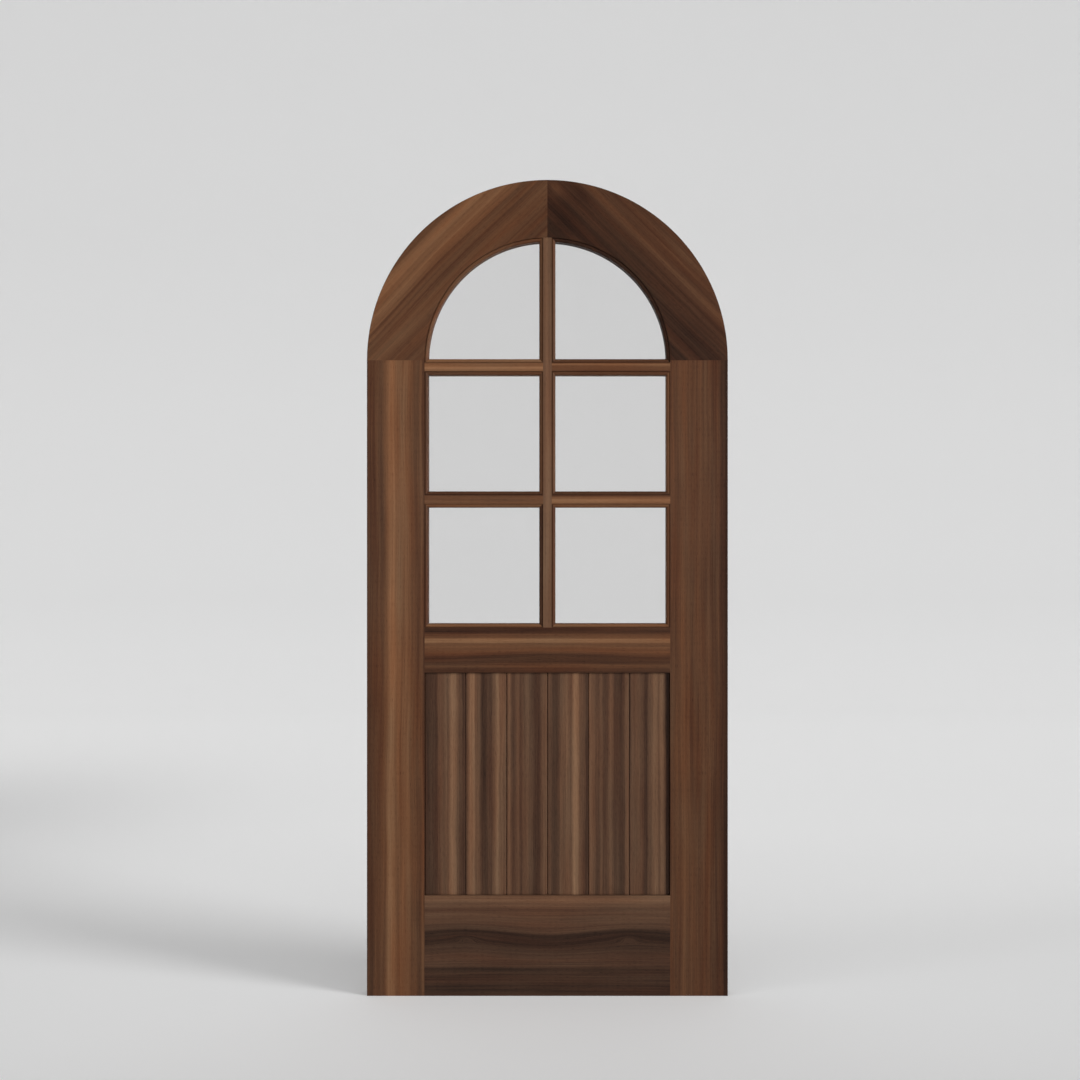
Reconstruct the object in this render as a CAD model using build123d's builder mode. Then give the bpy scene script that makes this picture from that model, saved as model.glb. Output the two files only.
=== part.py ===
from build123d import *
import os
from math import cos, radians, sin, sqrt

os.makedirs("parts", exist_ok=True)

# Door leaf with a half-round head, six panes and a boarded panel, in millimetres.
# It stands on its bottom edge, with the origin in the middle of that edge.
# X runs across the leaf, Y from its front face to its back face, and Z up.

# The leaf
leaf_width = 914.4
leaf_thickness = 44.45
stile_width = 146.05
arris = 1.0

# What is stacked between the stiles, from the floor up
bottom_rail_height = 254.0
panel_height = 565.0
lock_rail_height = 114.3
pane_height = 313.5
muntin_width = 22.2
arch_foot = 5.6

# Mouldings: a quirk beside the flat, then an ovolo, then a straight land down to the glass
moulding_width = 9.5
quirk_width = 2.0
quirk_depth = 4.5
nose_recess = 1.5
curved_fit = 0.2

# Glass, and the rubber blocks that it stands on
glass_thickness = 6.0
glass_clearance = 3.0
block_length = 40.0

# Stub tenons of the muntins
tenon_thickness = 12.7
tenon_shoulder = 4.1
tenon_web = 4.0
end_tenon_length = 19.0
tenon_fit = 0.2
tenon_room = 0.5

# Boarded panel
board_count = 6
panel_recess = 6.35
board_gap = 1.0
board_chamfer = 1.6
board_tongue_thickness = 6.35
board_tongue_length = 9.5
panel_tongue_thickness = 12.7
panel_groove_depth = 12.7
tongue_fit = 0.25
tongue_room = 1.5
shoulder_gap = 1.0

# Loose tenons, half in each of the two pieces that they join
loose_tenon_length = 118.0
loose_tenon_margin = 20.0
loose_tenon_arris = 1.5
loose_tenon_room = 1.0
bottom_rail_tenon_count = 2

# Brads that hold the glazing beads
brad_size = 1.2
brad_set = 1.0
brad_tip_gap = 3.2
side_brad_places = (0.2, 0.8)
arch_brad_angles = (15, 45, 75)

# Heights and half widths that follow from these sizes
front = -leaf_thickness / 2
back = leaf_thickness / 2
leaf_half = leaf_width / 2
opening_half = leaf_half - stile_width
muntin_half = muntin_width / 2
panel_bottom = bottom_rail_height
panel_top = panel_bottom + panel_height
lock_rail_top = panel_top + lock_rail_height
pane_bottoms = [lock_rail_top + row * (pane_height + muntin_width) for row in range(3)]
spring = pane_bottoms[2] + arch_foot
sight_half = opening_half - moulding_width
crown_wall = spring + sqrt(opening_half**2 - muntin_half**2)
crown_sight = spring + sqrt(sight_half**2 - (muntin_half + moulding_width) ** 2)

# Depths that follow from them
moulding_depth = (leaf_thickness - glass_thickness) / 2
ovolo_radius = moulding_width - quirk_width
ovolo_end = nose_recess + ovolo_radius
land_middle = -glass_thickness / 2 - (moulding_depth - ovolo_end) / 2

side_tenon_length = (muntin_width - tenon_web) / 2
tenon_width = muntin_width - 2 * tenon_shoulder
mortise_width = tenon_width + 2 * tenon_fit
mortise_thickness = tenon_thickness + 2 * tenon_fit
groove_width = panel_tongue_thickness + 2 * tongue_fit
brad_bite = (muntin_width - brad_tip_gap) / 2
brad_length = moulding_width - brad_set + brad_bite


def save(piece, name):
    """Names a finished piece and writes it."""
    piece.part.label = name
    export_step(piece.part, f"parts/{name}.step")


def save_pair(right, name):
    """Writes a right-hand piece, and its left-hand twin. SIDE in the name becomes left or right."""
    with BuildPart() as left:
        mirror(right.part, about=Plane.YZ)
    save(right, name.replace("SIDE", "right"))
    save(left, name.replace("SIDE", "left"))


def spread(low, high, count):
    """Middles of count equal parts of the stretch from low to high."""
    step = (high - low) / count
    return [low + (number + 0.5) * step for number in range(count)]


def moulding_section(plane, root):
    """Section of a moulding. Its x runs from the flat's edge into the pane, its y from the face to
    the glass, and root is where it starts: past the flat's edge, or sunk into the wood behind it."""
    with BuildSketch(plane) as section:
        with BuildLine():
            Polyline((root, quirk_depth), (quirk_width, quirk_depth), (quirk_width, nose_recess))
            CenterArc((quirk_width, ovolo_end), ovolo_radius, -90, 90)
            Polyline(
                (moulding_width, ovolo_end),
                (moulding_width, moulding_depth),
                (root, moulding_depth),
                (root, quirk_depth),
            )
        make_face()
    return section.sketch


def mitre(corner, to_sight, along):
    """Plane of a mitre from a pane's corner to its sight corner. Its upper side is towards along."""
    normal = along - to_sight * (along.dot(to_sight) / to_sight.dot(to_sight))
    return Plane(corner, z_dir=normal)


def side_moulding(start, end, face, end_to_sight=None):
    """Straight moulding on one side of a pane, mitred at both ends. start and end are pane corners
    (x, z), clockwise as seen from the front, and the far mitre is at 45 degrees if not given."""
    to_glass = Vector(0, 1, 0) if face == front else Vector(0, -1, 0)
    first = Vector(start[0], face, start[1])
    last = Vector(end[0], face, end[1])
    along = (last - first).normalized()
    inward = Vector(0, 1, 0).cross(along)
    if end_to_sight is None:
        end_to_sight = inward - along
    corner = first if face == front else last
    section = moulding_section(Plane(corner, x_dir=inward, z_dir=inward.cross(to_glass)), 0)
    with BuildPart() as strip:
        extrude(section, amount=(last - first).length)
        split(bisect_by=mitre(first, inward + along, along), keep=Keep.TOP)
        split(bisect_by=mitre(last, end_to_sight, -along), keep=Keep.TOP)
    return strip.part


def arch_moulding(face, root):
    """Curved moulding round the right-hand head pane, with its straight foot, mitred at both ends."""
    to_glass = Vector(0, 1, 0) if face == front else Vector(0, -1, 0)
    inward = Vector(-1, 0, 0)
    foot = Vector(opening_half, face, pane_bottoms[2])
    crown = Vector(muntin_half, face, crown_wall)
    crown_to_sight = Vector(moulding_width, 0, crown_sight - crown_wall)
    springing = Vector(opening_half, face, spring)
    section = moulding_section(
        Plane(springing, x_dir=inward, z_dir=inward.cross(to_glass)), root
    )
    with BuildPart() as strip:
        extrude(section, amount=arch_foot, dir=(0, 0, -1))
        revolve(section, axis=Axis((0, 0, spring), (0, -1, 0)), revolution_arc=90)
        split(bisect_by=mitre(foot, Vector(-1, 0, 1), Vector(0, 0, 1)), keep=Keep.TOP)
        split(bisect_by=mitre(crown, crown_to_sight, Vector(1, 0, 0)), keep=Keep.TOP)
    return strip.part


def right_pane_sides(row):
    """The straight sides of a right-hand pane: name, start, end and mitre at the end."""
    low = pane_bottoms[row]
    high = low + pane_height
    crown_to_sight = Vector(moulding_width, 0, crown_sight - crown_wall)
    if row == 2:
        return [
            ("bottom", (opening_half, low), (muntin_half, low), None),
            ("inner", (muntin_half, low), (muntin_half, crown_wall), crown_to_sight),
        ]
    return [
        ("bottom", (opening_half, low), (muntin_half, low), None),
        ("inner", (muntin_half, low), (muntin_half, high), None),
        ("top", (muntin_half, high), (opening_half, high), None),
        ("outer", (opening_half, high), (opening_half, low), None),
    ]


def right_sticking(row, side):
    """The moulding on the back of the wood, along one side of a right-hand pane."""
    for name, start, end, end_to_sight in right_pane_sides(row):
        if name == side:
            return side_moulding(start, end, back, end_to_sight)


# Brads: square nails through each bead's land, from the pane's side, into the wood beside it
def brad_plane(x, z, inward):
    """Place of one brad beside the point where its bead meets the wood."""
    middle = Vector(x, land_middle, z) + inward * (brad_length / 2 - brad_bite)
    return Plane(middle, x_dir=inward, z_dir=(0, 1, 0))


brad_planes = []
for row in range(3):
    for name, start, end, end_to_sight in right_pane_sides(row):
        run = Vector(end[0] - start[0], 0, end[1] - start[1])
        for place in side_brad_places:
            x = start[0] + run.X * place
            z = start[1] + run.Z * place
            brad_planes.append(brad_plane(x, z, Vector(0, 1, 0).cross(run.normalized())))
for angle in arch_brad_angles:
    outward = Vector(cos(radians(angle)), 0, sin(radians(angle)))
    x = opening_half * outward.X
    z = spring + opening_half * outward.Z
    brad_planes.append(brad_plane(x, z, -outward))

with BuildPart() as bead_brads:
    with Locations(*brad_planes):
        Box(brad_length, brad_size, brad_size)
    mirror(about=Plane.YZ)
save(bead_brads, "bead_brads")


# Loose tenons: each joint is a plane across the tenons, with the width of the wood there
def joint(low, high, count, place, across):
    """Planes of the tenons in a joint that runs from low to high, and the tenons' width. place
    turns a distance along the joint into a point, and across is the way that the tenons point."""
    along = (place(high) - place(low)).normalized()
    planes = [Plane(place(at), x_dir=along, z_dir=across) for at in spread(low, high, count)]
    return planes, (high - low) / count - 2 * loose_tenon_margin


def on_stile_edge(z):
    return Vector(opening_half, 0, z)


def on_stile_top(x):
    return Vector(x, 0, spring)


def on_crown(z):
    return Vector(0, 0, z)


rightward = (1, 0, 0)
upward = (0, 0, 1)
groove_bottom = panel_bottom - panel_groove_depth
groove_top = panel_top + panel_groove_depth
crown_low = spring + opening_half + end_tenon_length
bottom_rail_joint = joint(0, groove_bottom, bottom_rail_tenon_count, on_stile_edge, rightward)
lock_rail_joint = joint(groove_top, lock_rail_top, 1, on_stile_edge, rightward)
arch_joint = joint(opening_half, leaf_half, 1, on_stile_top, upward)
crown_joint = joint(crown_low, spring + leaf_half, 1, on_crown, rightward)


def loose_tenons(tenon_joint, length_axis):
    """The tenons of one joint, with eased long edges."""
    planes, width = tenon_joint
    with BuildPart() as tenons:
        with Locations(*planes):
            Box(width, tenon_thickness, loose_tenon_length)
        chamfer(tenons.edges().filter_by(length_axis), loose_tenon_arris)
    return tenons


def cut_mortises(tenon_joint):
    """Cuts the mortises of one joint from the piece that is being built."""
    planes, width = tenon_joint
    depth = loose_tenon_length / 2 + loose_tenon_room
    with Locations(*planes):
        Box(width + 2 * tenon_fit, mortise_thickness, 2 * depth, mode=Mode.SUBTRACT)


for name, tenon_joint, length_axis in (
    ("bottom_rail_tenons", bottom_rail_joint, Axis.X),
    ("lock_rail_tenons", lock_rail_joint, Axis.X),
    ("arch_tenons", arch_joint, Axis.Z),
):
    right_tenons = loose_tenons(tenon_joint, length_axis)
    with BuildPart() as both_tenons:
        add(right_tenons.part)
        mirror(about=Plane.YZ)
    save(both_tenons, name)
save(loose_tenons(crown_joint, Axis.X), "crown_tenon")

# The moulding round the arch on the back: its foot is on the stile, the rest on the arch rail
spring_plane = Plane.XY.offset(spring)
arch_sticking = arch_moulding(back, -arris)
foot_sticking = split(arch_sticking, bisect_by=spring_plane, keep=Keep.BOTTOM)
arch_sticking = split(arch_sticking, bisect_by=spring_plane, keep=Keep.TOP)

# Stiles: panel groove, mortises for the muntins and the loose tenons, and the moulding on the back
stile_middle = (opening_half + leaf_half) / 2
muntin_middles = [bottom - muntin_half for bottom in pane_bottoms[1:]]
with BuildPart() as stile:
    with BuildSketch(Plane.XY):
        with Locations((stile_middle, 0)):
            Rectangle(stile_width, leaf_thickness)
    extrude(amount=spring)
    chamfer(stile.edges().filter_by(Axis.Z).group_by(Axis.X)[-1], arris)
    add([right_sticking(0, "outer"), right_sticking(1, "outer"), foot_sticking])
    with BuildSketch(Plane.XY.offset(panel_bottom - panel_groove_depth)):
        with Locations((opening_half, 0)):
            Rectangle(2 * panel_groove_depth, groove_width)
    extrude(amount=panel_height + 2 * panel_groove_depth, mode=Mode.SUBTRACT)
    with BuildSketch(Plane.YZ.offset(opening_half)):
        with Locations(*[(0, z) for z in muntin_middles]):
            Rectangle(mortise_thickness, mortise_width)
    extrude(amount=side_tenon_length + tenon_room, mode=Mode.SUBTRACT)
    for tenon_joint in (bottom_rail_joint, lock_rail_joint, arch_joint):
        cut_mortises(tenon_joint)
    add(bead_brads.part, mode=Mode.SUBTRACT)
save_pair(stile, "SIDE_stile")

# Arch rails: quarter rings, with the moulding on the back and half of the crown mortise each
with BuildPart() as arch_rail:
    with BuildSketch(Plane.XZ):
        with BuildLine():
            CenterArc((0, spring), leaf_half, 0, 90)
            CenterArc((0, spring), opening_half, 0, 90)
            Line((opening_half, spring), (leaf_half, spring))
            Line((0, spring + opening_half), (0, spring + leaf_half))
        make_face()
    extrude(amount=leaf_thickness / 2, both=True)
    chamfer(arch_rail.edges().filter_by(GeomType.CIRCLE).sort_by(SortBy.RADIUS)[-2:], arris)
    add(arch_sticking)
    with BuildSketch(Plane.XY.offset(spring + opening_half + end_tenon_length + tenon_room)):
        Rectangle(mortise_width, mortise_thickness)
    extrude(amount=-2 * end_tenon_length, mode=Mode.SUBTRACT)
    cut_mortises(arch_joint)
    cut_mortises(crown_joint)
    add(bead_brads.part, mode=Mode.SUBTRACT)
save_pair(arch_rail, "SIDE_arch_rail")

# Lock rail, as its right half and that half's mirror image
with BuildPart() as lock_rail:
    with BuildSketch(Plane.YZ):
        with Locations((0, (panel_top + lock_rail_top) / 2)):
            Rectangle(leaf_thickness, lock_rail_height)
        with Locations((0, panel_top)):
            Rectangle(groove_width, 2 * panel_groove_depth, mode=Mode.SUBTRACT)
    extrude(amount=opening_half)
    add(right_sticking(0, "bottom"))
    with BuildSketch(Plane.XY.offset(lock_rail_top)):
        Rectangle(mortise_width, mortise_thickness)
    extrude(amount=-end_tenon_length - tenon_room, mode=Mode.SUBTRACT)
    cut_mortises(lock_rail_joint)
    add(bead_brads.part, mode=Mode.SUBTRACT)
    mirror(about=Plane.YZ)
save(lock_rail, "lock_rail")

# Bottom rail, made the same way
with BuildPart() as bottom_rail:
    with BuildSketch(Plane.YZ):
        with Locations((0, bottom_rail_height / 2)):
            Rectangle(leaf_thickness, bottom_rail_height)
        with Locations((0, panel_bottom)):
            Rectangle(groove_width, 2 * panel_groove_depth, mode=Mode.SUBTRACT)
    extrude(amount=opening_half)
    cut_mortises(bottom_rail_joint)
    mirror(about=Plane.YZ)
save(bottom_rail, "bottom_rail")

# Vertical muntin: it runs through from the lock rail to the crown
with BuildPart() as vertical_muntin:
    with BuildSketch(Plane.XY.offset(lock_rail_top)):
        with Locations((muntin_half / 2, 0)):
            Rectangle(muntin_half, leaf_thickness)
    extrude(amount=crown_wall - lock_rail_top)
    add([right_sticking(row, "inner") for row in range(3)])
    with BuildSketch(Plane.XY.offset(lock_rail_top - end_tenon_length)):
        with Locations((tenon_width / 4, 0)):
            Rectangle(tenon_width / 2, tenon_thickness)
    extrude(amount=spring + opening_half - lock_rail_top + 2 * end_tenon_length)
    with BuildSketch(Plane.YZ.offset(muntin_half)):
        with Locations(*[(0, z) for z in muntin_middles]):
            Rectangle(mortise_thickness, mortise_width)
    extrude(amount=-side_tenon_length - tenon_room, mode=Mode.SUBTRACT)
    add(bead_brads.part, mode=Mode.SUBTRACT)
    mirror(about=Plane.YZ)
save(vertical_muntin, "vertical_muntin")

# Horizontal muntins: between the vertical one and the stiles, with a stub tenon at each end
for row, name in enumerate(("lower", "upper")):
    with BuildPart() as muntin:
        with BuildSketch(Plane.YZ.offset(muntin_half)):
            with Locations((0, muntin_middles[row])):
                Rectangle(leaf_thickness, muntin_width)
        extrude(amount=opening_half - muntin_half)
        add([right_sticking(row, "top"), right_sticking(row + 1, "bottom")])
        with BuildSketch(Plane.YZ.offset(muntin_half - side_tenon_length)):
            with Locations((0, muntin_middles[row])):
                Rectangle(tenon_thickness, tenon_width)
        extrude(amount=opening_half - muntin_half + 2 * side_tenon_length)
        add(bead_brads.part, mode=Mode.SUBTRACT)
    save_pair(muntin, f"{name}_SIDE_muntin")

# Glass: each pane is smaller than its rebate all round, and stands on two blocks
glass_left = muntin_half + glass_clearance
glass_right = opening_half - glass_clearance
glass_middle = (glass_left + glass_right) / 2
glass_radius = opening_half - glass_clearance
for row, name in enumerate(("lower", "middle")):
    with BuildPart() as pane:
        with BuildSketch(Plane.XZ):
            with Locations((glass_middle, pane_bottoms[row] + pane_height / 2)):
                Rectangle(glass_right - glass_left, pane_height - 2 * glass_clearance)
        extrude(amount=glass_thickness / 2, both=True)
    save_pair(pane, f"{name}_SIDE_pane")

with BuildPart() as head_pane:
    pane_low = pane_bottoms[2] + glass_clearance
    pane_high = spring + sqrt(glass_radius**2 - glass_left**2)
    with BuildSketch(Plane.XZ):
        with BuildLine():
            Polyline(
                (glass_left, pane_high),
                (glass_left, pane_low),
                (glass_right, pane_low),
                (glass_right, spring),
            )
            RadiusArc((glass_right, spring), (glass_left, pane_high), -glass_radius)
        make_face()
    extrude(amount=glass_thickness / 2, both=True)
save_pair(head_pane, "upper_SIDE_pane")

with BuildPart() as setting_blocks:
    for low in pane_bottoms:
        for x in spread(glass_left, glass_right, 2):
            with Locations((x, 0, low + glass_clearance / 2)):
                Box(block_length, glass_thickness, glass_clearance)
    mirror(about=Plane.YZ)
save(setting_blocks, "setting_blocks")

# Glazing beads: a mitred strip along each side of each pane, in front of the glass
for row, name in enumerate(("lower", "middle", "upper")):
    for side, start, end, end_to_sight in right_pane_sides(row):
        strip = side_moulding(start, end, front, end_to_sight)
        with BuildPart() as bead:
            add(strip)
            add(bead_brads.part, mode=Mode.SUBTRACT)
        save_pair(bead, f"{name}_SIDE_bead_{side}")

curved_strip = arch_moulding(front, curved_fit)
with BuildPart() as arch_bead:
    add(curved_strip)
    add(bead_brads.part, mode=Mode.SUBTRACT)
save_pair(arch_bead, "upper_SIDE_bead_arch")

# Panel boards: tongued on their right edge and grooved on their left one. The first and last fit
# the stiles' grooves, and the ends are rebated to tongues that fit the rails' grooves.
board_pitch = 2 * opening_half / board_count
board_thickness = leaf_thickness - 2 * panel_recess
board_groove_depth = board_tongue_length - board_gap + tongue_room
board_groove_width = board_tongue_thickness + 2 * tongue_fit
tongue_bottom = groove_bottom
tongue_top = groove_top - tongue_room
shoulder_bottom = panel_bottom + shoulder_gap
shoulder_top = panel_top - shoulder_gap
stile_tongue_length = panel_groove_depth - tongue_room + board_gap / 2


def tongue(face_x, direction, length, thickness, mode=Mode.ADD):
    """Rectangle of a tongue or groove that starts at a board's edge, in the board's section."""
    with Locations((face_x + direction * length / 2, 0)):
        Rectangle(length, thickness, mode=mode)


for number in range(board_count):
    left_x = -opening_half + number * board_pitch + board_gap / 2
    right_x = left_x + board_pitch - board_gap
    middle_x = (left_x + right_x) / 2
    with BuildPart() as board:
        with BuildSketch(Plane.XY.offset(tongue_bottom)) as section:
            with Locations((middle_x, 0)):
                Rectangle(right_x - left_x, board_thickness)
            chamfer(section.vertices(), board_chamfer)
            if number == 0:
                tongue(left_x, -1, stile_tongue_length, panel_tongue_thickness)
            else:
                tongue(left_x, 1, board_groove_depth, board_groove_width, Mode.SUBTRACT)
            if number == board_count - 1:
                tongue(right_x, 1, stile_tongue_length, panel_tongue_thickness)
            else:
                tongue(right_x, 1, board_tongue_length, board_tongue_thickness)
        extrude(amount=tongue_top - tongue_bottom)
        for low, high in ((tongue_bottom, shoulder_bottom), (shoulder_top, tongue_top)):
            with BuildSketch(Plane.XY.offset(low)):
                with Locations((middle_x, 0)):
                    Rectangle(board_pitch, board_thickness)
                    Rectangle(board_pitch, panel_tongue_thickness, mode=Mode.SUBTRACT)
            extrude(amount=high - low, mode=Mode.SUBTRACT)
    save(board, f"panel_board_{number + 1}")
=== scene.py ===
# %% [markdown]
# # A walnut door leaf with a round head
#
# The leaf is joined from walnut: two stiles, two rails, two quarter rings for the head, and muntins
# that hold six panes over a boarded panel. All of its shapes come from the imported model, already true
# in size, so this lesson is about finish: how walnut, glass and small hardware are made from shader
# nodes, and how a pale studio shows them. Every length is in metres. X runs across the leaf, Y from
# its front to its back, and Z up.

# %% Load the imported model
import bpy
from math import pi, radians, sqrt
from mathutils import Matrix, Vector


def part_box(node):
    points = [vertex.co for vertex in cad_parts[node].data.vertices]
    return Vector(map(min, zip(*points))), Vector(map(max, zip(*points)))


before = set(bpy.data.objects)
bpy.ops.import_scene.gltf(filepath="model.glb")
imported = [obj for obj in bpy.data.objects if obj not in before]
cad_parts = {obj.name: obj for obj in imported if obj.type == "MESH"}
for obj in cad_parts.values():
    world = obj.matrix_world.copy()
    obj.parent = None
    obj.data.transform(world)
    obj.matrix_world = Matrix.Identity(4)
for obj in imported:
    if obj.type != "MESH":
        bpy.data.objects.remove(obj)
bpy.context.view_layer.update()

# %% [markdown]
# ## Where the pieces are
#
# A finish has to know how its piece was cut: which way the grain runs, and where the face starts. Both
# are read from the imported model, so a leaf of another size keeps its pattern in place. The lock rail
# is as long as the opening between the stiles is wide, and the stiles end where the head springs.

# %% Places read from the model
RIGHT = Vector((1, 0, 0))
UP = Vector((0, 0, 1))
BACKWARD = Vector((0, 1, 0))
RISING = (RIGHT + UP).normalized()
FALLING = (RIGHT - UP).normalized()


def low(node):
    """Lowest corner of a piece."""
    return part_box(node)[0]


def high(node):
    """Highest corner of a piece."""
    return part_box(node)[1]


leaf_half = high("right_stile").x
front = low("right_stile").y
spring = high("right_stile").z
opening_half = high("lock_rail").x
stile_width = leaf_half - opening_half
lock_rail_top = low("lower_left_bead_bottom").z
panel_top = low("lock_rail").z
panel_bottom = high("bottom_rail").z
board_names = sorted(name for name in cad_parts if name.startswith("panel_board"))
board_pitch = 2 * opening_half / len(board_names)
print(f"opening {2 * opening_half:.4f} wide, head springs at {spring:.4f}")
print(f"{len(board_names)} boards, {board_pitch:.4f} apart")

# %% [markdown]
# ## Shader maths as Python
#
# A wood pattern is mostly arithmetic: a distance across the board, bent a little, looked up in a list
# of tones. Wiring each sum by hand hides the idea, so one small class stands for a node's output and
# turns Python's operators into Math nodes. Any other node comes from one method of the finish.

# %% A value that adds Math nodes
def plug(value, socket):
    """Links a value to a socket, or sets a plain number, colour or vector on it."""
    if isinstance(value, Value):
        socket.id_data.links.new(value.socket, socket)
    else:
        socket.default_value = value


class Value:
    """One output of a shader node. Arithmetic on it adds Math nodes."""

    def __init__(self, socket):
        self.socket = socket

    def math(self, operation, *parts):
        node = self.socket.id_data.nodes.new("ShaderNodeMath")
        node.operation = operation
        for place, part in enumerate(parts):
            plug(part, node.inputs[place])
        return Value(node.outputs[0])

    def of(self, operation):
        """A function of this value alone, such as its cosine."""
        return self.math(operation, self)

    def __add__(self, other):
        return self.math("ADD", self, other)

    __radd__ = __add__

    def __sub__(self, other):
        return self.math("SUBTRACT", self, other)

    def __rsub__(self, other):
        return self.math("SUBTRACT", other, self)

    def __mul__(self, other):
        return self.math("MULTIPLY", self, other)

    __rmul__ = __mul__

    def __truediv__(self, other):
        return self.math("DIVIDE", self, other)


def bell(value, middle, spread):
    """1 where the value is at the middle, and near 0 from two spreads away."""
    off = (value - middle) / spread
    return (off * off * -1).of("EXPONENT")


def either_way(noise, reach):
    """Noise from 0 to 1 as a change of up to half the reach, down or up."""
    return (noise - 0.5) * reach


print("shader maths ready")


# %% A finish: one material and its nodes
def set_stops(ramp, stops):
    """Gives a ramp its stops, as (place, tone) or (place, colour)."""
    for _ in stops[2:]:
        ramp.elements.new(0.5)
    for element, (place, shade) in zip(ramp.elements, stops):
        element.position = place
        element.color = shade if isinstance(shade, tuple) else (shade, shade, shade, 1)


class Finish:
    """A material that is being built."""

    def __init__(self, name):
        self.material = bpy.data.materials.new(name)
        self.material.use_nodes = True
        self.tree = self.material.node_tree
        self.tree.nodes.clear()
        self.place = self.node("ShaderNodeTexCoord", output="Object")

    def node(self, kind, settings=None, inputs=None, output=0):
        """Adds a node, with its settings first and then its sockets, and gives one output."""
        node = self.tree.nodes.new(kind)
        for name, setting in (settings or {}).items():
            if name == "stops":
                set_stops(node.color_ramp, setting)
            elif name == "interpolation":
                node.color_ramp.interpolation = setting
            else:
                setattr(node, name, setting)
        for name, value in (inputs or {}).items():
            plug(value, node.inputs[name])
        return Value(node.outputs[output]) if node.outputs else None

    def along(self, direction):
        """How far the surface lies along a direction."""
        inputs = {0: self.place, 1: direction}
        return self.node("ShaderNodeVectorMath", {"operation": "DOT_PRODUCT"}, inputs, "Value")

    def noise(self, x, y, z, detail=2.0, roughness=0.5):
        """Smooth noise from 0 to 1 at a point whose parts are already scaled."""
        point = self.node("ShaderNodeCombineXYZ", None, {0: x, 1: y, 2: z})
        inputs = {"Vector": point, "Scale": 1.0, "Detail": detail, "Roughness": roughness}
        return self.node("ShaderNodeTexNoise", None, inputs)

    def speckle(self, x_scale, y_scale, z_scale, detail=2.0):
        """Noise all over a piece, with a scale of its own along each axis."""
        x, y, z = (self.along(way) for way in (RIGHT, BACKWARD, UP))
        return self.noise(x * x_scale, y * y_scale, z * z_scale, detail=detail)

    def ramp(self, value, stops, interpolation="EASE"):
        """Looks a value up in a list of tones or colours."""
        settings = {"interpolation": interpolation, "stops": stops}
        return self.node("ShaderNodeValToRGB", settings, {"Fac": value})

    def blend(self, share, first, second):
        """A colour between the first and the second."""
        inputs = {0: share, 6: first, 7: second}
        return self.node("ShaderNodeMix", {"data_type": "RGBA"}, inputs, 2)

    def bump(self, height, strength, distance):
        """The normal of a surface with small relief."""
        inputs = {"Height": height, "Strength": strength, "Distance": distance}
        return self.node("ShaderNodeBump", None, inputs)

    def surface(self, **sockets):
        """The Principled shader. A socket's name is written with _ for a space."""
        inputs = {name.replace("_", " "): value for name, value in sockets.items()}
        return self.node("ShaderNodeBsdfPrincipled", None, inputs)

    def finish(self, shader):
        """Sends a shader to the output, and gives the material."""
        self.node("ShaderNodeOutputMaterial", None, {"Surface": shader})
        return self.material


def colour(red, green, blue):
    """A colour as a screen shows it, from 0 to 255, as light that a shader uses."""
    return tuple((part / 255) ** 2.2 for part in (red, green, blue)) + (1,)


def dress(node, material):
    """Gives every material slot of a piece the finish."""
    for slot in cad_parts[node].material_slots:
        slot.material = material


print("a mid grey is", round(colour(128, 128, 128)[0], 3), "as light")

# %% [markdown]
# ## Walnut
#
# A sawn board shows its growth rings as stripes along the grain: broad bands of light and dark
# heartwood, thinner lines inside them, and on top the fibres and the open pores, short dark dashes a
# few millimetres long. The stripes sway a little, and round a small knot they swell like water round
# a stone. All of it can come from one number, the height across the board. It is bent by the sway and
# by slow noise, and every layer is then read at the bent height, so that the layers flow together. An
# image of wood would be quicker, but it repeats, and it doesn't know where a board's edge or end is.
# Here the height also drifts with depth, so the stripes go on round the edge of a board to its back.

# %% Shades of walnut
# The panel boards, the bottom rail and the vertical muntin are cooler than the other pieces.
WARM_SHADES = (
    (0.00, colour(30, 18, 12)),
    (0.20, colour(58, 38, 28)),
    (0.40, colour(80, 53, 38)),
    (0.60, colour(103, 70, 49)),
    (0.80, colour(125, 88, 62)),
    (1.00, colour(148, 108, 78)),
)
COOL_SHADES = (
    (0.00, colour(34, 24, 20)),
    (0.20, colour(59, 42, 33)),
    (0.40, colour(82, 59, 46)),
    (0.60, colour(104, 76, 58)),
    (0.80, colour(127, 95, 72)),
    (1.00, colour(150, 114, 86)),
)

# Tones of the broad stripes, as places on those shades
DEEP, DARK, DUSKY, BROWN, MIDDLE = 0.1, 0.2, 0.3, 0.4, 0.48
WARM, LIGHT, PALE, BLOND = 0.57, 0.68, 0.82, 0.92
print(len(WARM_SHADES), "warm and", len(COOL_SHADES), "cool shades, from dark to pale")

# %% The walnut finish
RING_SLANT = 0.45
WOOD_ROUGHNESS, WOOD_SHINE = 0.5, 0.14


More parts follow.
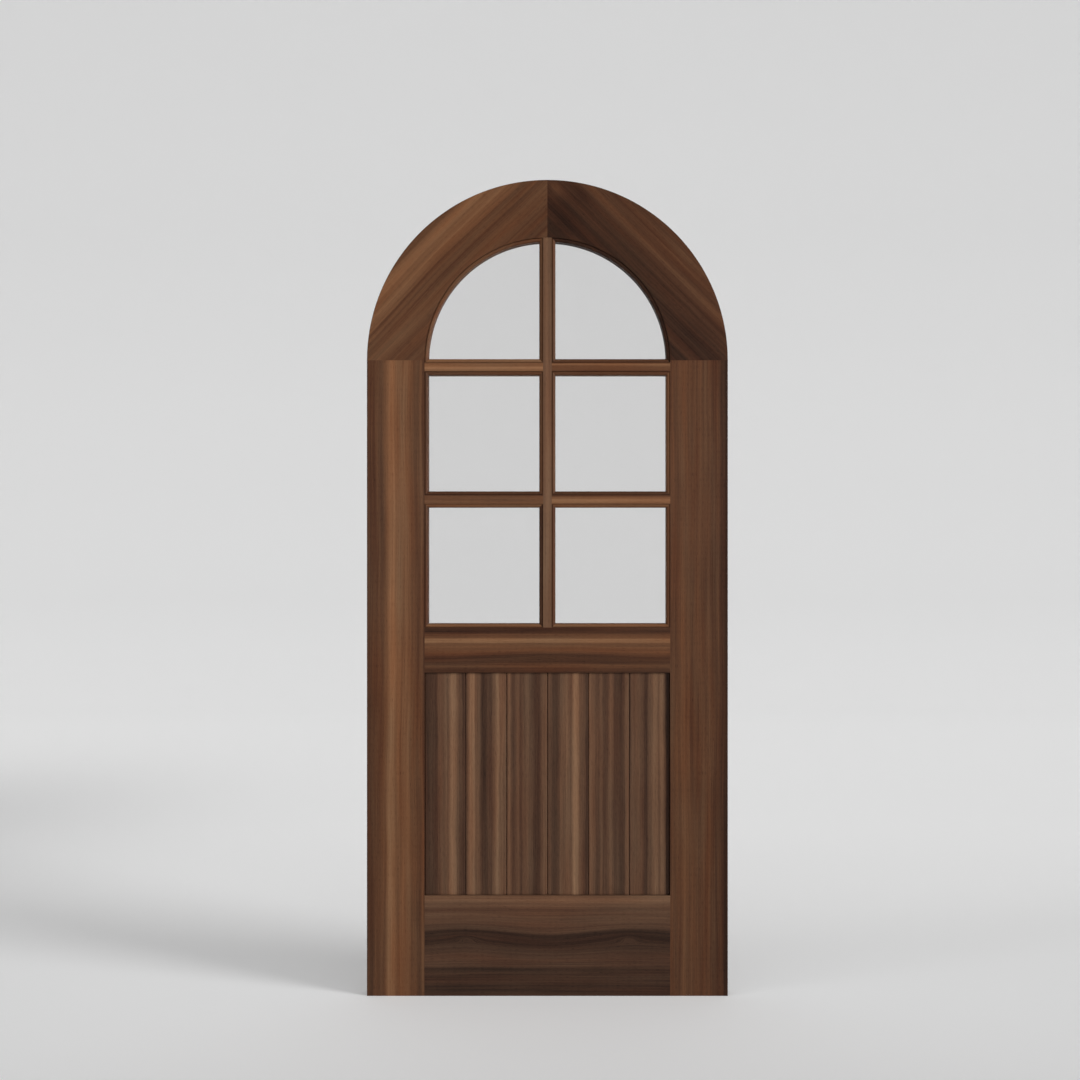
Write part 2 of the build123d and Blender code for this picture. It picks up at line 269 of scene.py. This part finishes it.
def walnut(name, grain, across, start, width, stripes, seed, sway=0.006, wave=None, eyes=(),
           patches=(), shades=WARM_SHADES, calm=1.0, figure=0.003):
    """Walnut for one board. Its stripes are (share of the width, tone), from start along across.
    A wave is (height, spread, swing, length). An eye is (along, height, length, thickness, swell),
    and has a twin on the other side of the middle. A patch is a lighter or darker spot, as (along,
    height, length, thickness, change of tone). Calm weakens the bands and lines below 1, and figure
    is how far the stripes are rippled. The rings slant, so the height also changes with depth."""
    wood = Finish(name)
    run = wood.along(grain)
    depth = wood.along(BACKWARD) - front
    height = wood.along(across) - start + depth * RING_SLANT
    slow = wood.noise(run * 1.6 + seed, height * 5, depth * 4 + seed * 2, detail=1.0)
    ripple = wood.noise(run * 9 + seed, height * 26, depth * 9, detail=2.0)
    height = height + either_way(slow, 4 * sway) + either_way(ripple, figure)
    if wave:
        middle, spread, swing, length = wave
        height = height + (run * (2 * pi / length)).of("COSINE") * bell(height, middle, spread) * swing
    for eye_run, eye_height, eye_length, thickness, swell in eyes:
        near = bell(run.of("ABSOLUTE"), eye_run, eye_length) * bell(height, eye_height, thickness)
        height = height + near * swell

    broad = wood.ramp(height / width, stripes)
    bands = wood.noise(run * 1.3, height * 95 + seed * 3, depth * 30, detail=3.0, roughness=0.6)
    lines = wood.noise(run * 2.5, height * 420 + seed * 5, depth * 160, detail=2.0, roughness=0.6)
    fibres = wood.noise(run * 14, height * 1500 + seed, depth * 900, detail=2.0, roughness=0.7)
    cloud = wood.noise(run * 7 + seed, height * 11, depth * 8, detail=2.0)
    tone = broad + either_way(bands, 0.55 * calm) + either_way(lines, 0.34 * calm)
    tone = tone + either_way(fibres, 0.16) + either_way(cloud, 0.12)
    for spot_run, spot_height, spot_length, thickness, change in patches:
        tone = tone + bell(run, spot_run, spot_length) * bell(height, spot_height, thickness) * change

    dashes = wood.noise(run * 70, height * 2300 + seed * 7, depth * 1800, detail=0.0)
    pores = wood.ramp(dashes, ((0.60, 0.0), (0.72, 1.0)))
    shade = wood.ramp(tone - pores * 0.14, shades, "LINEAR")
    turn = wood.noise(run * 3 + seed * 4, height * 40, depth * 20, detail=1.0)
    inputs = {"Hue": 0.5 + either_way(turn, 0.02), "Saturation": 1.1 - turn * 0.2, "Color": shade}
    shade = wood.node("ShaderNodeHueSaturation", None, inputs)

    relief = fibres * 0.5 + lines * 0.5 - pores
    shader = wood.surface(
        Base_Color=shade,
        Roughness=WOOD_ROUGHNESS + either_way(fibres, 0.12) + pores * 0.15,
        Specular_IOR_Level=WOOD_SHINE,
        Normal=wood.bump(relief, 0.25, 0.0004),
    )
    return wood.finish(shader)


print("walnut ready, with rings that slant by", RING_SLANT)

# %% [markdown]
# ## Stiles
#
# The stiles are the two uprights, sawn with the grain running up. The left one is the lighter: it has
# a golden stripe two fifths of the way in, a broad light one beside it, and a thin light line near the
# edge that the rails meet. The right one is an even brown that darkens towards its outer edge. The
# tones could be painted on an image, but a list of named ones across the width says it in a few words,
# and the noise layers do the rest.

# %% Stiles
left_stripes = (
    (0.00, BROWN), (0.12, BROWN), (0.18, MIDDLE), (0.26, MIDDLE), (0.33, WARM), (0.41, PALE),
    (0.47, PALE), (0.53, LIGHT), (0.72, LIGHT), (0.79, WARM), (0.88, MIDDLE), (0.93, MIDDLE),
    (0.96, WARM), (1.00, BROWN),
)
right_stripes = (
    (0.00, MIDDLE), (0.14, MIDDLE), (0.22, WARM), (0.40, MIDDLE), (0.66, MIDDLE), (0.76, BROWN),
    (0.84, BROWN), (0.91, DUSKY), (0.95, DARK), (1.00, DARK),
)
dress("left_stile", walnut(
    "walnut_left_stile", UP, RIGHT, -leaf_half, stile_width, left_stripes, seed=1.3, calm=0.8))
dress("right_stile", walnut(
    "walnut_right_stile", UP, RIGHT, opening_half, stile_width, right_stripes, seed=4.1, calm=0.8))
print("stiles dressed")

# %% [markdown]
# ## Head
#
# Each half of the head is a quarter ring sawn from a wide board laid at 45 degrees, so its grain runs
# straight from the springing to the crown and the ring cuts through it. The left half has the light
# stripes near its outer edge. The right half is darker, and darkest inside, beside the crown joint.
# At the very top it is as light as the left one, which hides the joint there: a lighter patch and two
# darker ones, laid over the stripes, make the difference.
# The stripes start where a 45 degree line just touches the outside of the ring, and are listed over a
# little less than half of its radius.

# %% Head
ring_start = -leaf_half - spring / sqrt(2)
ring_share = 0.465
ring_width = ring_share * leaf_half
left_ring = (
    (0.00, MIDDLE), (0.06, WARM), (0.10, LIGHT), (0.14, PALE), (0.19, PALE), (0.23, LIGHT),
    (0.27, LIGHT), (0.315, PALE), (0.345, LIGHT), (0.40, LIGHT), (0.43, MIDDLE), (0.465, WARM),
    (0.495, MIDDLE), (0.53, WARM), (0.565, MIDDLE), (0.64, WARM), (0.73, WARM), (0.82, MIDDLE),
    (1.00, MIDDLE),
)
right_ring = (
    (0.00, BROWN), (0.06, MIDDLE), (0.15, MIDDLE), (0.26, BROWN), (0.33, WARM), (0.37, MIDDLE),
    (0.44, DUSKY), (0.58, DUSKY), (0.74, DARK), (0.83, DARK), (0.90, DUSKY), (1.00, DARK),
)
left_wave = (0.095, 0.09, 0.0044, 0.569)
crown_run = -(spring + leaf_half) / sqrt(2)
crown_patches = (
    (crown_run + 0.03, 0.136, 0.028, 0.02, 0.2),
    (crown_run + 0.087, 0.093, 0.03, 0.015, -0.09),
    (crown_run + 0.11, 0.187, 0.045, 0.028, -0.1),
)
dress("left_arch_rail", walnut(
    "walnut_left_arch_rail", RISING, FALLING, ring_start, ring_width, left_ring, seed=7.7,
    sway=0.0015, wave=left_wave, calm=0.7))
dress("right_arch_rail", walnut(
    "walnut_right_arch_rail", FALLING, -RISING, ring_start, ring_width, right_ring, seed=9.2,
    sway=0.002, patches=crown_patches, calm=0.8, figure=0.006))
print("head dressed")

# %% [markdown]
# ## Rails
#
# The two cross members have their grain level. Both are cut from the middle of a tree, and their
# stripes rise and fall in one slow wave, the same on both sides of the middle. On the bottom rail a
# dark band opens round two small eyes, and on the lock rail the stripes swell in the middle. A regular
# wave added to the height gives the first, and an eye is a local swelling of the height, with the
# stripes closing round it by themselves.

# %% Rails
lock_height = lock_rail_top - panel_top
lock_stripes = (
    (0.00, DUSKY), (0.11, DUSKY), (0.17, MIDDLE), (0.22, WARM), (0.28, PALE), (0.32, PALE),
    (0.38, WARM), (0.53, WARM), (0.58, MIDDLE), (0.66, DUSKY), (0.74, DUSKY), (0.84, MIDDLE),
    (0.93, BROWN), (1.00, DUSKY),
)
bottom_stripes = (
    (0.00, LIGHT), (0.05, LIGHT), (0.10, WARM), (0.15, MIDDLE), (0.22, MIDDLE), (0.29, MIDDLE),
    (0.34, BROWN), (0.385, DARK), (0.47, DARK), (0.53, DUSKY), (0.60, BROWN), (0.70, BROWN),
    (0.745, DARK), (0.79, DUSKY), (0.86, DUSKY), (0.91, DARK), (1.00, DUSKY),
)
lock_wave = (0.075, 0.02, 0.003, 0.62)
lock_eyes = ((0.0, 0.078, 0.045, 0.006, 0.006),)
bottom_wave = (0.11, 0.05, -0.008, 0.44)
bottom_eyes = ((0.205, 0.117, 0.03, 0.009, 0.012),)
dress("lock_rail", walnut(
    "walnut_lock_rail", RIGHT, -UP, -lock_rail_top, lock_height, lock_stripes, seed=2.6,
    sway=0.001, wave=lock_wave, eyes=lock_eyes, calm=0.8))
dress("bottom_rail", walnut(
    "walnut_bottom_rail", RIGHT, -UP, -panel_bottom, panel_bottom, bottom_stripes, seed=5.4,
    sway=0.002, wave=bottom_wave, eyes=bottom_eyes, shades=COOL_SHADES, calm=0.8))
print("rails dressed")

# %% [markdown]
# ## Muntins
#
# The vertical muntin is one even, paler piece. The four level ones are short offcuts of different
# boards, so each has its own tones. A muntin is too narrow for a long list of stripes: three to five
# tones across its width are enough.

# %% Muntins
muntin_half = low("lower_right_bead_inner").x
muntin_width = 2 * muntin_half
muntin_stripes = {
    "lower_left_muntin": ((0.0, WARM), (0.85, WARM), (1.0, BROWN)),
    "lower_right_muntin": ((0.0, LIGHT), (0.2, PALE), (0.4, PALE), (0.65, LIGHT), (1.0, BROWN)),
    "upper_left_muntin": ((0.0, LIGHT), (0.2, PALE), (0.4, BLOND), (0.75, LIGHT), (1.0, WARM)),
    "upper_right_muntin": ((0.0, MIDDLE), (0.2, WARM), (0.55, WARM), (0.8, PALE), (0.97, MIDDLE)),
}
dress("vertical_muntin", walnut(
    "walnut_vertical_muntin", UP, RIGHT, -muntin_half, muntin_width,
    ((0.0, WARM), (0.5, LIGHT), (1.0, WARM)), seed=3.8, sway=0.0015, shades=COOL_SHADES, calm=0.6))
for number, (name, stripes) in enumerate(muntin_stripes.items()):
    bottom = high("lower_left_bead_top" if "lower" in name else "middle_left_bead_top").z
    dress(name, walnut(
        "walnut_" + name, RIGHT, UP, bottom, muntin_width, stripes, seed=11.5 + number,
        sway=0.0015, calm=0.6))
print("muntins dressed")

# %% [markdown]
# ## Glazing beads
#
# The bead strips are run from the offcuts of the same boards, so their tones are mixed, and darker on
# the whole than the muntins. A strip is too thin for stripes. It gets one tone and the fine layers.

# %% Glazing beads
bead_tones = {
    "lower_left": {"bottom": LIGHT, "inner": DUSKY, "top": LIGHT, "outer": BROWN},
    "lower_right": {"bottom": LIGHT, "inner": BROWN, "top": LIGHT, "outer": WARM},
    "middle_left": {"bottom": BROWN, "inner": WARM, "top": MIDDLE, "outer": BROWN},
    "middle_right": {"bottom": BROWN, "inner": MIDDLE, "top": MIDDLE, "outer": LIGHT},
    "upper_left": {"bottom": PALE, "inner": WARM, "arch": WARM},
    "upper_right": {"bottom": MIDDLE, "inner": MIDDLE, "arch": DARK},
}
BEAD_GRAIN = {"bottom": RIGHT, "top": RIGHT, "inner": UP, "outer": UP}
BEAD_ACROSS = {"bottom": UP, "top": UP, "inner": RIGHT, "outer": RIGHT}
bead_seed = 20.3
for pane, sides in bead_tones.items():
    arch_grain = RISING if "left" in pane else FALLING
    arch_across = FALLING if "left" in pane else RISING
    for side, tone in sides.items():
        name = f"{pane}_bead_{side}"
        bead_seed = bead_seed + 1.7
        dress(name, walnut(
            "walnut_" + name, BEAD_GRAIN.get(side, arch_grain), BEAD_ACROSS.get(side, arch_across),
            0.0, 1.0, ((0.0, tone), (1.0, tone)), seed=bead_seed, sway=0.002, calm=0.7))
print(f"{len(bead_tones)} panes' beads dressed")

# %% [markdown]
# ## Panel boards
#
# The panel is made of six boards with the grain running up, each from another part of the tree. They
# are cooler and greyer than the frame, and their stripes are stronger: half of the boards have a pale
# one. Each board has its own list of tones, read from its own left edge.

# %% Panel boards
board_stripes = (
    (
        (0.03, DUSKY), (0.29, DUSKY), (0.38, MIDDLE), (0.46, WARM), (0.60, WARM), (0.70, PALE),
        (0.76, PALE), (0.84, WARM), (0.90, MIDDLE), (0.98, DUSKY),
    ),
    (
        (0.02, BROWN), (0.08, WARM), (0.15, PALE), (0.22, PALE), (0.29, WARM), (0.36, MIDDLE),
        (0.44, DUSKY), (0.52, DUSKY), (0.62, BROWN), (0.71, WARM), (0.82, PALE), (0.87, LIGHT),
        (0.97, WARM),
    ),
    (
        (0.03, MIDDLE), (0.09, LIGHT), (0.21, BROWN), (0.31, WARM), (0.375, BROWN), (0.45, MIDDLE),
        (0.55, WARM), (0.66, BROWN), (0.74, DUSKY), (0.82, DUSKY), (0.89, MIDDLE), (0.96, WARM),
    ),
    (
        (0.03, BROWN), (0.09, MIDDLE), (0.22, DUSKY), (0.30, BROWN), (0.38, WARM), (0.54, LIGHT),
        (0.61, WARM), (0.70, PALE), (0.76, PALE), (0.84, WARM), (0.92, MIDDLE), (0.98, DUSKY),
    ),
    (
        (0.02, BROWN), (0.08, LIGHT), (0.16, WARM), (0.27, BROWN), (0.36, WARM), (0.42, BROWN),
        (0.50, MIDDLE), (0.58, WARM), (0.70, BROWN), (0.82, DUSKY), (0.89, BROWN), (0.96, WARM),
    ),
    # The last board darkens from DARK to DEEP at its right edge: painted shadow of the right stile on
    # the panel.
    (
        (0.02, DUSKY), (0.08, MIDDLE), (0.20, WARM), (0.31, MIDDLE), (0.43, DUSKY), (0.53, MIDDLE),
        (0.62, LIGHT), (0.69, LIGHT), (0.76, WARM), (0.83, LIGHT), (0.90, WARM), (0.95, DARK),
        (1.00, DEEP),
    ),
)
for number, (name, stripes) in enumerate(zip(board_names, board_stripes)):
    start = -opening_half + number * board_pitch
    dress(name, walnut(
        "walnut_" + name, UP, RIGHT, start, board_pitch, stripes, seed=31.7 + 2.3 * number,
        sway=0.0015, shades=COOL_SHADES, calm=0.75, figure=0.006))
print(f"{len(board_names)} boards dressed")

# %% [markdown]
# ## Glass
#
# The panes are clear float glass. What a viewer sees of them is mostly the wall behind, a little
# darker, and a faint shine. The glass bends light like the real one, and its faces have a very slight
# ripple. A lamp's rays would be stopped by it in this renderer, so for shadow rays alone it is swapped
# for a see-through shader, and the panes let light through to the floor.

# %% Glass
PANE_TINT = (0.905, 0.905, 0.905, 1)
SHADOW_TINT = (0.94, 0.95, 0.95, 1)


def clear_glass(name):
    """Clear glass with a very slight ripple, which lets the light of the lamps through."""
    glass = Finish(name)
    ripple = glass.noise(glass.along(RIGHT) * 9, glass.along(UP) * 5, glass.along(BACKWARD) * 9)
    clear = glass.surface(
        Base_Color=PANE_TINT,
        Transmission_Weight=1.0,
        Roughness=0.0,
        IOR=1.45,
        Normal=glass.bump(ripple, 0.03, 0.001),
    )
    lamp_ray = glass.node("ShaderNodeLightPath", output="Is Shadow Ray")
    see_through = glass.node("ShaderNodeBsdfTransparent", None, {"Color": SHADOW_TINT})
    return glass.finish(glass.node("ShaderNodeMixShader", None, {0: lamp_ray, 1: clear, 2: see_through}))


pane_glass = clear_glass("pane_glass")
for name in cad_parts:
    if name.endswith("_pane"):
        dress(name, pane_glass)
print("panes dressed")

# %% [markdown]
# ## Small hardware inside
#
# Three things are hidden in the joints: the rubber blocks under each pane, the loose tenons, and the
# brads that hold the beads. They show when the leaf is taken apart, so each gets its own finish:
# rubber with a dull bloom, beech with its small dark flecks, and steel with lines drawn along it.

# %% Rubber, beech and steel
def block_rubber(name):
    """Black rubber with a greyish bloom and a fine grit."""
    rubber = Finish(name)
    bloom = rubber.speckle(60, 60, 60, detail=3.0)
    grit = rubber.speckle(2600, 2600, 2600, detail=1.0)
    shade = rubber.blend(bloom, colour(30, 30, 31), colour(58, 57, 55))
    return rubber.finish(rubber.surface(
        Base_Color=shade, Roughness=0.65 + bloom * 0.25, Normal=rubber.bump(grit, 0.3, 0.0001)))


def beech(name):
    """Pale beech with short dark flecks."""
    wood = Finish(name)
    tone = wood.speckle(14, 260, 60, detail=3.0)
    flecks = wood.ramp(wood.speckle(300, 1400, 900), ((0.64, 0.0), (0.7, 1.0)))
    shade = wood.ramp(tone - flecks * 0.2, (
        (0.2, colour(150, 104, 66)), (0.5, colour(186, 141, 98)), (0.8, colour(208, 168, 124))))
    return wood.finish(wood.surface(
        Base_Color=shade, Roughness=0.55 + flecks * 0.2, Normal=wood.bump(tone - flecks, 0.2, 0.0003)))


def bright_steel(name):
    """Drawn steel wire, bright, with fine lines along it."""
    steel = Finish(name)
    drawn = steel.speckle(900, 5200, 900)
    shade = steel.blend(drawn, colour(150, 150, 152), colour(196, 196, 198))
    return steel.finish(steel.surface(
        Base_Color=shade, Metallic=1.0, Roughness=0.28 + drawn * 0.2,
        Normal=steel.bump(drawn, 0.15, 0.00005)))


dress("setting_blocks", block_rubber("block_rubber"))
tenon_beech = beech("tenon_beech")
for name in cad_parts:
    if name.endswith(("_tenons", "_tenon")):
        dress(name, tenon_beech)
dress("bead_brads", bright_steel("brad_steel"))
print("blocks, tenons and brads dressed")

# %% [markdown]
# ## The studio
#
# The leaf stands on a sheet of pale paper that sweeps up behind it into a wall, with no line where
# the two meet. It starts as a plane, whose far edge is spun up a quarter turn and then drawn straight
# up. The paper's shade changes slowly over the sheet: brightest on the floor behind the leaf, and a
# little darker near the camera, up the wall, and where the main light fades on the far left. More
# lamps could do this, but they would change the light on the leaf too. So the paper has a glow of its
# own, which only the rays that look at it can see.

# %% Paper sweep
floor_front, floor_back, floor_side = -7.0, 6.0, 12.0
sweep_radius, wall_height = 4.0, 9.0

bpy.ops.object.select_all(action="DESELECT")
bpy.ops.mesh.primitive_plane_add(size=1, location=(0, (floor_front + floor_back) / 2, 0))
sweep = bpy.context.object
sweep.name = "paper_sweep"
bpy.ops.transform.resize(value=(2 * floor_side, floor_back - floor_front, 1))
bpy.ops.object.transform_apply(location=True, rotation=True, scale=True)
bpy.ops.object.mode_set(mode="EDIT")
bpy.ops.mesh.select_mode(type="EDGE")
bpy.ops.mesh.select_all(action="DESELECT")
bpy.ops.object.mode_set(mode="OBJECT")
for edge in sweep.data.edges:
    ends = [sweep.data.vertices[place].co.y for place in edge.vertices]
    edge.select = min(ends) > floor_back - 0.01
bpy.ops.object.mode_set(mode="EDIT")
bpy.ops.mesh.spin(
    steps=32, angle=-pi / 2, center=(0, floor_back, sweep_radius), axis=(1, 0, 0))
bpy.ops.mesh.extrude_region_move(
    TRANSFORM_OT_translate={"value": (0, 0, wall_height - sweep_radius)})
bpy.ops.mesh.select_all(action="SELECT")
bpy.ops.mesh.normals_make_consistent(inside=False)
bpy.ops.object.mode_set(mode="OBJECT")
bpy.ops.object.shade_smooth()
print("paper sweep reaches", [round(size, 2) for size in sweep.dimensions])

# %% Paper
SEEING_RAYS = ("Is Camera Ray", "Is Glossy Ray", "Is Transmission Ray")
glow_start, glow_reach = -1.0, 18.0
# How far the painted shade on the far left lowers the paper's glow
painted_far_left_shade_depth = 0.14
GLOW_STOPS = (
    (0.02, 0.14), (0.05, 0.15), (0.08, 0.17), (0.12, 0.22), (0.17, 0.25), (0.28, 0.25),
    (0.37, 0.24), (0.45, 0.18), (0.55, 0.11), (0.66, 0.09), (0.77, 0.09), (0.87, 0.11),
)
paper = Finish("pale_paper")
grain = paper.speckle(90, 90, 90)
sheet = paper.surface(
    Base_Color=colour(230, 230, 230), Roughness=1.0, Specular_IOR_Level=0.0,
    Normal=paper.bump(grain, 0.05, 0.001))
# The glow is painted light on the paper: brightest behind the leaf, and dimmer near the camera and up
# the wall. The darker patch on the far left is painted shade, where the main light fades.
far = (paper.along(BACKWARD) + paper.along(UP) - glow_start) / glow_reach
glow = paper.ramp(far, GLOW_STOPS, "LINEAR")
painted_far_left_shade = bell(paper.along(RIGHT), -2.6, 1.0) * bell(paper.along(BACKWARD), 2.3, 1.4)
seen = sum(paper.node("ShaderNodeLightPath", output=ray) for ray in SEEING_RAYS)
emission = {"Color": glow - painted_far_left_shade * painted_far_left_shade_depth, "Strength": seen.of("SIGN")}
lit = paper.node("ShaderNodeEmission", None, emission)
both = paper.node("ShaderNodeAddShader", None, {0: sheet, 1: lit})
sweep.data.materials.append(paper.finish(both))
print("paper glows at", len(GLOW_STOPS), "stops, from", glow_start, "to", glow_start + glow_reach)

# %% [markdown]
# ## Light
#
# The main light comes from the right and a little in front, low, and throws the shadow to the left and
# back. A weak one on the other side throws a faint second shadow. Both are sun lamps: they light the
# whole floor evenly, as a very large soft box far away would, and their angle sets how soft the edges
# of the shadows are. A long soft box stands close before the leaf, above half its height, so the wood
# is brightest there and darker towards the foot. It is hidden from every ray that would show it. The
# rest comes from all round, as in a white room, and the room looks as pale as the paper.

# %% Lamps
def far_lamp(name, direction, angle, strength):
    """A lamp that shines from a direction, blurred by its angle."""
    turn = Vector(direction).to_track_quat("Z", "Y").to_euler()
    bpy.ops.object.light_add(type="SUN", location=direction, rotation=turn)
    lamp = bpy.context.object
    lamp.name = name
    lamp.data.angle = radians(angle)
    lamp.data.energy = strength


far_lamp("main_lamp", direction=(0.856, -0.427, 0.29), angle=22, strength=2.25)
far_lamp("side_lamp", direction=(-0.84, -0.40, 0.36), angle=14, strength=0.22)

box_distance, box_height = 1.0, 1.3
bpy.ops.object.light_add(
    type="AREA", location=(0, front - box_distance, box_height), rotation=(radians(90), 0, 0))
soft_box = bpy.context.object
soft_box.name = "front_soft_box"
soft_box.data.shape = "RECTANGLE"
soft_box.data.size, soft_box.data.size_y = 4.0, 0.5
soft_box.data.energy = 8.5
soft_box.visible_camera = False
soft_box.visible_glossy = False
soft_box.visible_transmission = False
print("lamps set")

# %% Room light
room_light, seen_extra = 0.3, 0.39
world = bpy.context.scene.world or bpy.data.worlds.new("room")
bpy.context.scene.world = world
world.use_nodes = True
room = world.node_tree.nodes["Background"]
room_rays = world.node_tree.nodes.new("ShaderNodeLightPath")
straight = Value(room_rays.outputs["Is Camera Ray"])
through_glass = Value(room_rays.outputs["Is Transmission Ray"])
room.inputs["Color"].default_value = (1, 1, 1, 1)
seen_room = (straight + through_glass).of("SIGN")
plug(seen_room * seen_extra + room_light, room.inputs["Strength"])
print("room gives", room_light, "and looks like", room_light + seen_extra)

# %% [markdown]
# ## Camera
#
# The camera is level, a little above half the leaf's height, and almost straight in front of it, so
# the leaf's upright lines stay upright.

# %% Camera
camera_side, camera_distance, camera_height = -0.0187, 3.8, 1.155
bpy.ops.object.camera_add(
    location=(camera_side, front - camera_distance, camera_height), rotation=(radians(90), 0, 0))
camera = bpy.context.object
camera.data.lens = 50
camera.data.sensor_width = 36
bpy.context.scene.camera = camera
bpy.context.scene.view_settings.view_transform = "Standard"
print("camera stands", [round(part, 3) for part in camera.location], "with a lens of", camera.data.lens)
